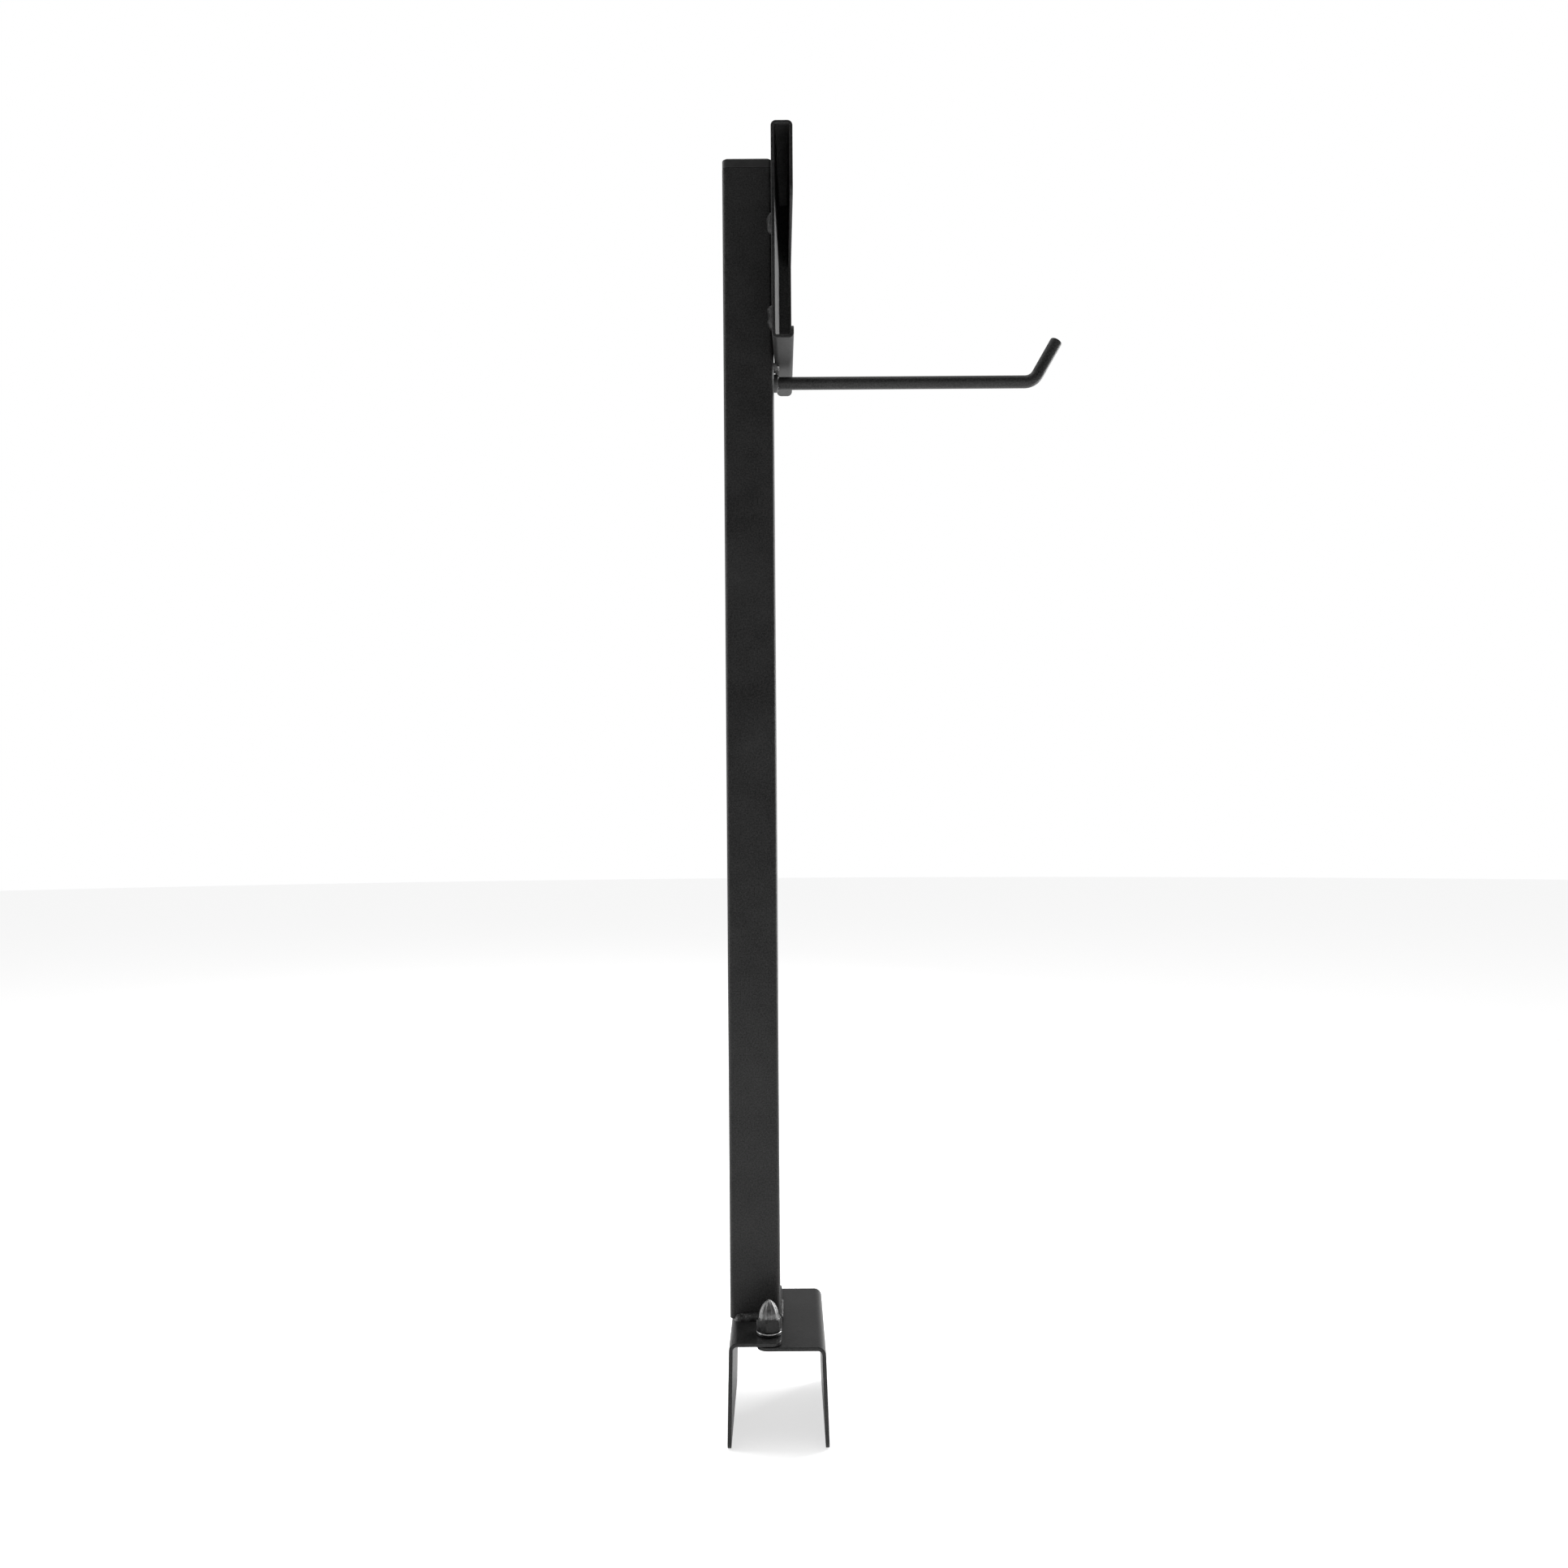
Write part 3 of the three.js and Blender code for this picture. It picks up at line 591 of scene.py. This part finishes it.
def saddle_bracket(name, free_edge, leg_face, plate_top, flare, slot=0):
    """One folded bracket of the saddle: a plate with a flared leg."""
    across = abs(leg_face - free_edge) - SADDLE_SHEET - SADDLE_BEND
    fold_angle = 90 - flare
    drop = plate_top - SADDLE_SHEET - SADDLE_BEND - FIXED_LOW.z
    run = drop / math.cos(math.radians(flare)) - SADDLE_SHEET * math.sin(math.radians(flare))
    if leg_face < free_edge:
        steps = [("run", across), ("turn", fold_angle), ("run", run)]
        fold = Fold(free_edge, plate_top, 180, SADDLE_SHEET, SADDLE_BEND, steps)
    else:
        steps = [("run", across), ("turn", -fold_angle), ("run", run)]
        fold = Fold(free_edge, plate_top - SADDLE_SHEET, 0, SADDLE_SHEET, SADDLE_BEND, steps)

    def place(u, y, depth):
        x, z = fold.spot(*fold.locate(u), depth)
        return x, y, z

    outline = rounded_outline(bracket_corners(sum(fold.lengths), 3 * MM, slot))
    return folded_piece(name, outline, SADDLE_SHEET, fold.cuts(), place)


def fixed_bracket():
    """The bracket that the post is welded to, with its bolt hole."""
    piece = saddle_bracket(
        "fixed_saddle_bracket", FIXED_HIGH.x, FIXED_LEG_FACE, FIXED_HIGH.z, FIXED_FLARE
    )
    drill_profile = [(BOLT_HOLE, -SADDLE_SHEET), (BOLT_HOLE, SADDLE_SHEET * 2)]
    drill = lofted("drill", turned(drill_profile, 48))
    apply_boolean(piece, drill, "DIFFERENCE")
    return piece


def sliding_bracket():
    """The bracket that slides under the fixed one on its open slot."""
    slot = SLOT_END - SLIDING_LOW.x
    return saddle_bracket(
        "sliding_saddle_bracket", SLIDING_LOW.x, SLIDING_LEG_FACE, SLIDING_HIGH.z, SLIDING_FLARE, slot
    )


# ---------------------------------------------------------------- bolt, washers and nut


def thread_radius(angle, z):
    """The radius of a 60 degree thread."""
    turn = (z / THREAD_PITCH - angle / math.tau) % 1
    depth = abs(turn * 2 - 1)
    return BOLT_RADIUS - 0.55 * MM * min(max(depth * 1.25 - 0.12, 0), 1)


def carriage_bolt():
    """A round-headed bolt with a square neck and a rolled thread."""
    neck_low = SLIDING_UNDERSIDE - 0.3 * MM
    neck_high = SLIDING_HIGH.z - 0.1 * MM
    head = BOLT_HIGH.x - BOLT_X
    head_high = neck_low
    height = head_high - BOLT_LOW.z

    def square_reach(angle):
        folded = (angle + math.pi / 4) % (math.pi / 2) - math.pi / 4
        corner = NECK_HALF / math.cos(folded)
        return min(corner, NECK_HALF * 1.36)

    rings = []
    for i in range(1, 15):
        out = i / 15
        rings.append((lambda a, r=head * out: r, head_high - height * (1 - out * out)))
    rings.append((lambda a: head - 0.05 * MM, head_high - 0.12 * height))
    rings.append((lambda a: head, head_high - 0.06 * height))
    rings.append((lambda a: head - 0.25 * MM, head_high))
    rings.append((square_reach, head_high))
    rings.append((square_reach, neck_high - 0.3 * MM))
    rings.append((lambda a: min(square_reach(a), BOLT_RADIUS * 1.06), neck_high))
    shank_end = BOLT_HIGH.z
    levels = 120
    for i in range(levels + 1):
        z = neck_high + (shank_end - neck_high) * i / levels
        taper = max(0.0, (z - (shank_end - 0.9 * MM)) / (0.9 * MM))
        run_out = min(1.0, i / 8)

        def threaded(angle, z=z, taper=taper, run_out=run_out):
            plain = BOLT_RADIUS * (1 - run_out)
            return plain + thread_radius(angle, z) * run_out - 0.75 * MM * taper

        rings.append((threaded, z))
    return lofted("round_head_bolt", [bolt_ring(reach, z, 64) for reach, z in rings])


def washer_profile(inner, outer, low, high, soft):
    """A washer's section with one rolled and one sharp side, as a punch leaves it."""
    return [
        (inner, low + soft * 0.4),
        (inner + soft * 0.4, low),
        (outer - soft * 0.5, low),
        (outer, low + soft * 0.5),
        (outer, high - soft),
        (outer - soft * 0.3, high - soft * 0.3),
        (outer - soft, high),
        (inner + soft, high),
        (inner, high - soft),
    ]


def flat_washer():
    """The flat washer on the plate."""
    inner = BOLT_RADIUS + 0.3 * MM
    outer = FLAT_HIGH.x - BOLT_X
    profile = washer_profile(inner, outer, FLAT_LOW.z, FLAT_HIGH.z, 0.2 * MM)
    return lofted("plain_washer", turned(profile, 96), closed=True)


def lock_washer():
    """The spring washer: one turn of square wire, cut at a slant, its ends a little apart."""
    inner = BOLT_RADIUS + 0.3 * MM
    outer = LOCK_HIGH.x - BOLT_X
    rise = 0.12 * MM
    low, high = LOCK_LOW.z, LOCK_HIGH.z - rise
    profile = washer_profile(inner, outer, low, high, 0.16 * MM)
    gap = math.radians(11)
    start = math.radians(110) + gap / 2
    sweep = math.tau - gap
    rings = []
    steps = 90
    for i in range(steps + 1):
        part = i / steps
        ring = []
        for radius, z in profile:
            slant = (z - low) * 0.6 / outer
            angle = start + sweep * part + slant
            height = z + rise * part
            ring.append((BOLT_X + radius * math.cos(angle), BOLT_Y + radius * math.sin(angle), height))
        rings.append(ring)
    return lofted("split_washer", rings)


def hex_reach(angle):
    """How far a hexagon's side is from its axis, with slightly worn corners."""
    sharpness = 46
    total = 0
    for side in range(6):
        facing = math.cos(angle - NUT_TURN - math.pi / 6 - side * math.pi / 3)
        if facing > 0:
            total += facing ** sharpness
    return NUT_FLATS / 2 / total ** (1 / sharpness)


def dome_nut():
    """A tall acorn nut: a chamfered hexagon under a pointed dome with twelve shallow grooves."""
    low = NUT_LOW.z
    hex_high = low + NUT_HEX
    tip = NUT_HIGH.z
    flat = NUT_FLATS / 2
    corner = flat / math.cos(math.pi / 6)
    chamfer = (corner - flat) * 0.62
    bore = BOLT_RADIUS + 0.2 * MM
    rows = []

    def plain(radius, z):
        rows.append((lambda a: radius, z))

    def capped(limit, z):
        rows.append((lambda a: (hex_reach(a) ** -40 + limit ** -40) ** (-1 / 40), z))

    plain(0.3 * MM, BOLT_HIGH.z + 0.6 * MM)
    plain(bore * 0.6, BOLT_HIGH.z + 0.45 * MM)
    plain(bore, BOLT_HIGH.z + 0.2 * MM)
    plain(bore, low + 0.5 * MM)
    plain(bore + 0.5 * MM, low)
    plain(flat - 0.35 * MM, low)
    for i in range(9):
        part = i / 8
        capped(flat + (corner + 0.25 * MM - flat) * part, low + chamfer * part + 0.02 * MM)
    for i in range(1, 6):
        capped(corner + 0.25 * MM, low + chamfer + (NUT_HEX - chamfer * 2) * i / 6)
    for i in range(9):
        part = 1 - i / 8
        capped(flat + (corner + 0.25 * MM - flat) * part, hex_high - chamfer * part)
    plain(flat - 0.3 * MM, hex_high + 0.02 * MM)
    plain(NUT_DOME + 0.32 * MM, hex_high + 0.03 * MM)
    plain(NUT_DOME + 0.08 * MM, hex_high + 0.12 * MM)
    height = tip - hex_high
    steps = 36
    for i in range(1, steps):
        rise = math.sin(math.pi / 2 * i / steps)
        radius = max(NUT_DOME * (1 - rise ** 2.1) ** 0.72, 0.05 * MM)
        groove = 0.05 * min(1, rise * 6)

        def grooved(angle, radius=radius, groove=groove):
            return radius * (1 - groove * abs(math.cos(6 * angle)))

        rows.append((grooved, hex_high + rise * height))
    return lofted("acorn_nut", [bolt_ring(reach, z, 144) for reach, z in rows])


# ---------------------------------------------------------------- card pocket


def pocket_fold(y):
    """The pocket's section at a place along Y, from the lower lip round to the upper one."""
    part = (y - NEAR) / (FAR - NEAR)
    left = POCKET_LEFT_NEAR + (POCKET_LEFT_FAR - POCKET_LEFT_NEAR) * part
    right = POCKET_RIGHT_NEAR + (POCKET_RIGHT_FAR - POCKET_RIGHT_NEAR) * part
    bend = POCKET_SHEET + POCKET_BEND
    across = right - left - bend * 2
    height = POCKET_HIGH.z - POCKET_LOW.z
    steps = [
        ("run", LOWER_LIP - bend),
        ("turn", -90),
        ("run", across),
        ("turn", -90),
        ("run", height - bend * 2),
        ("turn", -90),
        ("run", across),
        ("turn", -90),
        ("run", UPPER_LIP - bend),
    ]
    return Fold(right - POCKET_SHEET, POCKET_LOW.z + LOWER_LIP, -90, POCKET_SHEET, POCKET_BEND, steps)


def card_pocket():
    """The folded pocket with its welded-in end plate."""
    blank = pocket_fold(NEAR)

    def place(u, y, depth):
        x, z = pocket_fold(y).spot(*blank.locate(u), depth)
        return x, y, z

    length = sum(blank.lengths)
    corners = [(0, NEAR, LIP_CORNER), (length, NEAR, LIP_CORNER), (length, FAR, 0.4 * MM), (0, FAR, 0.4 * MM)]
    piece = folded_piece(
        "card_pocket_shell", rounded_outline(corners), POCKET_SHEET, blank.cuts(9), place
    )
    into = 0.8 * MM
    left, right = POCKET_LEFT_FAR + into, POCKET_RIGHT_FAR - into
    low, high = POCKET_LOW.z + into, POCKET_HIGH.z - into
    lip_low = POCKET_LOW.z + LOWER_LIP - 0.4 * MM
    lip_high = POCKET_HIGH.z - UPPER_LIP + 0.4 * MM
    step_corners = [
        (left, low, 0.8 * MM),
        (right, low, 0.8 * MM),
        (right, lip_low, 0),
        (POCKET_RIGHT_FAR - 0.02 * MM, lip_low, 0),
        (POCKET_RIGHT_FAR - 0.02 * MM, lip_high, 0),
        (right, lip_high, 0),
        (right, high, 0.8 * MM),
        (left, high, 0.8 * MM),
    ]
    plate = folded_piece(
        "end_plate",
        rounded_outline(step_corners, 4),
        POCKET_SHEET,
        [],
        lambda x, z, depth: (x, FAR - 0.12 * MM - depth, z),
    )
    apply_boolean(piece, plate, "UNION")
    return piece


# ---------------------------------------------------------------- wire hook


def hook_path(length):
    """The hook's centre and heading at a length from the post's face."""
    level = (TUBE_HIGH.x + TUBE_LOW.x) / 2
    z = HOOK_LOW.z + HOOK_RADIUS
    straight = HOOK_BEND_X - HALF
    bend = HOOK_BEND_RADIUS * HOOK_RISE
    if length <= straight:
        return Vector((HALF + length, level, z)), 0.0
    length -= straight
    angle = min(length / HOOK_BEND_RADIUS, HOOK_RISE)
    x = HOOK_BEND_X + math.sin(angle) * HOOK_BEND_RADIUS
    z += (1 - math.cos(angle)) * HOOK_BEND_RADIUS
    beyond = max(length - bend, 0)
    return Vector((x + math.cos(angle) * beyond, level, z + math.sin(angle) * beyond)), angle


def wire_hook():
    """The wire: a straight run, one bend and a cut tip with a broken edge."""
    straight = HOOK_BEND_X - HALF
    bend = HOOK_BEND_RADIUS * HOOK_RISE
    total = straight + bend + HOOK_TIP
    stops = [(straight * i / 40, HOOK_RADIUS) for i in range(41)]
    stops += [(straight + bend * i / 24, HOOK_RADIUS) for i in range(1, 25)]
    soft = 0.5 * MM
    stops += [(straight + bend + (HOOK_TIP - soft) * i / 6, HOOK_RADIUS) for i in range(1, 7)]
    for part in arc_steps(4)[1:]:
        stops.append((total - soft + soft * math.sin(part), HOOK_RADIUS - soft * (1 - math.cos(part))))
    rings = []
    for length, radius in stops:
        centre, angle = hook_path(length)
        side = Vector((0, 1, 0))
        up = Vector((-math.sin(angle), 0, math.cos(angle)))
        ring = []
        for i in range(40):
            turn = math.tau * i / 40
            ring.append(centre + (side * math.cos(turn) + up * math.sin(turn)) * radius)
        rings.append(ring)
    return lofted("wire_hook_arm", rings)


# ---------------------------------------------------------------- weld beads


def ripple(length, angle, seed):
    """How much a bead swells: overlapping crescents, and slower lumps."""
    pitch = 1.15 * MM
    phase = (length + 0.55 * MM * math.sin(2 * angle) ** 2) / pitch
    crescent = (phase % 1) ** 0.7 * 0.055
    where = Vector((length / (3.2 * MM), angle * 1.4, seed * 7.3))
    return crescent + noise.noise(where) * 0.16 + noise.noise(where * 3.1) * 0.05 - 0.04


def bead(name, start, end, out_a, out_b, radius, seed, pits=()):
    """A rippled fillet weld in the corner between two faces.

    out_a and out_b point away from the two faces. A pit is (length, angle, size, depth)."""
    start, end, out_a, out_b = Vector(start), Vector(end), Vector(out_a), Vector(out_b)
    along = (end - start).normalized()
    length = (end - start).length
    rings = []
    count = max(24, round((length + radius * 2) / (0.22 * MM)))
    arc = 20
    for i in range(count + 1):
        place = -radius + (length + radius * 2) * i / count
        over = max(-place, place - length, 0) / radius
        scale = math.sqrt(max(1 - over ** 2, 0.0004))
        centre = start + along * place
        ring = []
        for k in range(arc + 1):
            angle = math.pi / 2 * k / arc
            reach = radius * scale * (1 + ripple(place, angle, seed))
            for at, pit_angle, size, depth in pits:
                away = math.hypot(place - at, (angle - pit_angle) * radius)
                reach -= depth * math.exp(-((away / size) ** 2))
            ring.append(centre + (out_a * math.cos(angle) + out_b * math.sin(angle)) * reach)
        ring.append(ring[-1] - out_a * SUNK)
        ring.append(centre - (out_a + out_b) * SUNK)
        ring.append(ring[0] - out_b * SUNK)
        rings.append(ring)
    return lofted(name, rings)


def hook_bead():
    """The bead round the hook's root."""
    length = 2.6 * MM
    flare = 1.4 * MM
    z = HOOK_LOW.z + HOOK_RADIUS
    ceiling = POCKET_LOW.z + 0.1 * MM
    rings = []
    for i in range(72):
        turn = math.tau * i / 72
        ring = []
        profile = [(0, -SUNK)]
        for part in arc_steps(10):
            swell = 1 + ripple(turn * 4.2 * MM, part, 5) * 1.2
            profile.append((flare * math.cos(part) * swell, length * math.sin(part) * swell))
        profile.insert(1, (profile[1][0], -SUNK))
        profile.append((-SUNK, profile[-1][1]))
        profile.append((-SUNK, -SUNK))
        for out, away in profile[1:]:
            reach = HOOK_RADIUS + out
            height = min(z + reach * math.cos(turn), ceiling)
            ring.append((HALF + away, reach * math.sin(turn), height))
        rings.append(ring)
    return lofted("bead_hook_root", rings, closed=True)


# ---------------------------------------------------------------- the pieces

coat = powder_coat()
weld = coated_weld()
plastic = plug_plastic()
dark = dark_plated("dark_plated_steel", 0.8)
dull = dark_plated("dull_plated_steel", 0.0)
zinc = bright_zinc()

finish_piece(post_tube(), coat, "powder_coat", "upright", "upright_tube")
finish_piece(end_plug(), plastic, "plug_plastic", "upright", "tube_end_plug")
finish_piece(fixed_bracket(), coat, "powder_coat", "upright", "fixed_bracket")
finish_piece(sliding_bracket(), coat, "powder_coat", "sliding_jaw", "sliding_bracket")
finish_piece(card_pocket(), coat, "powder_coat", "upright", "card_pocket")
finish_piece(wire_hook(), coat, "powder_coat", "upright", "hook_wire")
finish_piece(carriage_bolt(), zinc, "bright_zinc", "upright", "carriage_bolt")
finish_piece(flat_washer(), dull, "dark_plated", "upright", "flat_washer")
finish_piece(lock_washer(), zinc, "bright_zinc", "upright", "lock_washer")
finish_piece(dome_nut(), dark, "dark_plated", "nut", "dome_nut")

near_bead = bead(
    "bead_foot_near", (-7 * MM, -HALF, PLATE), (9.5 * MM, -HALF, PLATE), NEARWARD, UP, FOOT_BEAD, 1,
    [(0.4 * MM, 0.95, 0.4 * MM, 0.9 * MM), (9 * MM, 0.5, 0.5 * MM, 0.3 * MM)],
)
far_bead = bead(
    "bead_foot_far", (-7 * MM, HALF, PLATE), (9.5 * MM, HALF, PLATE), FARWARD, UP, FOOT_BEAD, 2
)
side_bead = bead(
    "bead_foot_side", (HALF, -9 * MM, PLATE), (HALF, 11 * MM, PLATE), RIGHT, UP, SIDE_BEAD, 3
)
pocket_face = POCKET_LEFT_NEAR + 0.75 * MM
high_bead = bead(
    "bead_pocket_upper", (pocket_face, -HALF, 553 * MM), (pocket_face, -HALF, 558.1 * MM),
    LEFT, NEARWARD, POCKET_BEAD, 4,
)
low_bead = bead(
    "bead_pocket_lower", (pocket_face, -HALF, 504.6 * MM), (pocket_face, -HALF, 511.3 * MM),
    LEFT, NEARWARD, POCKET_BEAD, 5,
)
under_bead = bead(
    "bead_pocket_under", (HALF, -7.4 * MM, POCKET_LOW.z), (HALF, -4.6 * MM, POCKET_LOW.z),
    RIGHT, DOWN, UNDER_BEAD, 6,
)
for piece, node in (
    (near_bead, "foot_weld_near"),
    (far_bead, "foot_weld_far"),
    (side_bead, "foot_weld_side"),
    (high_bead, "pocket_weld_upper"),
    (low_bead, "pocket_weld_lower"),
    (under_bead, "pocket_weld_under"),
    (hook_bead(), "hook_weld"),
):
    finish_piece(piece, weld, "coated_weld", "upright", node)


# ---------------------------------------------------------------- stage, lights and camera


def studio_floor():
    """A wide paper floor that the saddle's legs stand on."""
    bm = bmesh.new()
    bmesh.ops.create_circle(bm, cap_ends=True, segments=96, radius=9.0)
    for vertex in bm.verts:
        vertex.co.z = FIXED_LOW.z - 0.1 * MM
    floor = mesh_piece("studio_floor", bm)
    floor.data.materials.append(floor_paper())


def soft_box(name, place, target, width, height, power):
    """An area light aimed at a point."""
    data = bpy.data.lights.new(name, "AREA")
    data.shape = "RECTANGLE"
    data.size = width
    data.size_y = height
    data.energy = power
    light = bpy.data.objects.new(name, data)
    light.location = place
    light.rotation_mode = "QUATERNION"
    light.rotation_quaternion = (Vector(target) - Vector(place)).to_track_quat("-Z", "Y")
    bpy.context.collection.objects.link(light)
    return light


def studio_world():
    """A white surround to look at, and a dimmer one to be lit by."""
    world = bpy.data.worlds.new("studio")
    bpy.context.scene.world = world
    world.use_nodes = True
    tree = world.node_tree
    tree.nodes.clear()
    seen = make_node(tree, "ShaderNodeBackground", {"Color": (1, 1, 1, 1), "Strength": 1.0})
    facing = make_node(tree, "ShaderNodeTexCoord").outputs["Generated"]
    depth = make_node(tree, "ShaderNodeSeparateXYZ", {0: facing}).outputs["Y"]
    level = remap(tree, depth, -0.8, 0.8, 0.15, 0.46)
    lit = make_node(tree, "ShaderNodeBackground", {"Color": (1, 1, 1, 1), "Strength": level})
    path = make_node(tree, "ShaderNodeLightPath")
    mix = make_node(
        tree,
        "ShaderNodeMixShader",
        {0: path.outputs["Is Camera Ray"], 1: lit.outputs[0], 2: seen.outputs[0]},
    )
    make_node(tree, "ShaderNodeOutputWorld", {"Surface": mix.outputs[0]})


def studio_camera():
    """The camera at the viewing angle of a shop photograph: level, close, slightly rolled."""
    data = bpy.data.cameras.new("camera")
    data.sensor_width = 36.0
    data.lens = 28.51
    data.shift_y = 0.0357
    camera = bpy.data.objects.new("camera", data)
    roll = math.radians(0.41)
    right = Vector((math.cos(roll), 0, -math.sin(roll)))
    up = Vector((math.sin(roll), 0, math.cos(roll)))
    back = Vector((0, -1, 0))
    place = Vector((16.26 * MM, -640.5 * MM, 244.1 * MM))
    camera.matrix_world = Matrix.Translation(place) @ Matrix((right, up, back)).transposed().to_4x4()
    bpy.context.collection.objects.link(camera)
    bpy.context.scene.camera = camera


studio_floor()
studio_world()
middle = (0.03, 0, 0.28)
soft_box("overhead", (-0.2, 0.1, 1.9), middle, 1.6, 1.6, 10)
soft_box("right_side", (1.2, 0.8, 0.55), middle, 0.7, 1.4, 22)
soft_box("left_side", (-1.4, 0.2, 0.7), middle, 0.5, 1.4, 10)
studio_camera()
bpy.context.scene.view_settings.view_transform = "Standard"
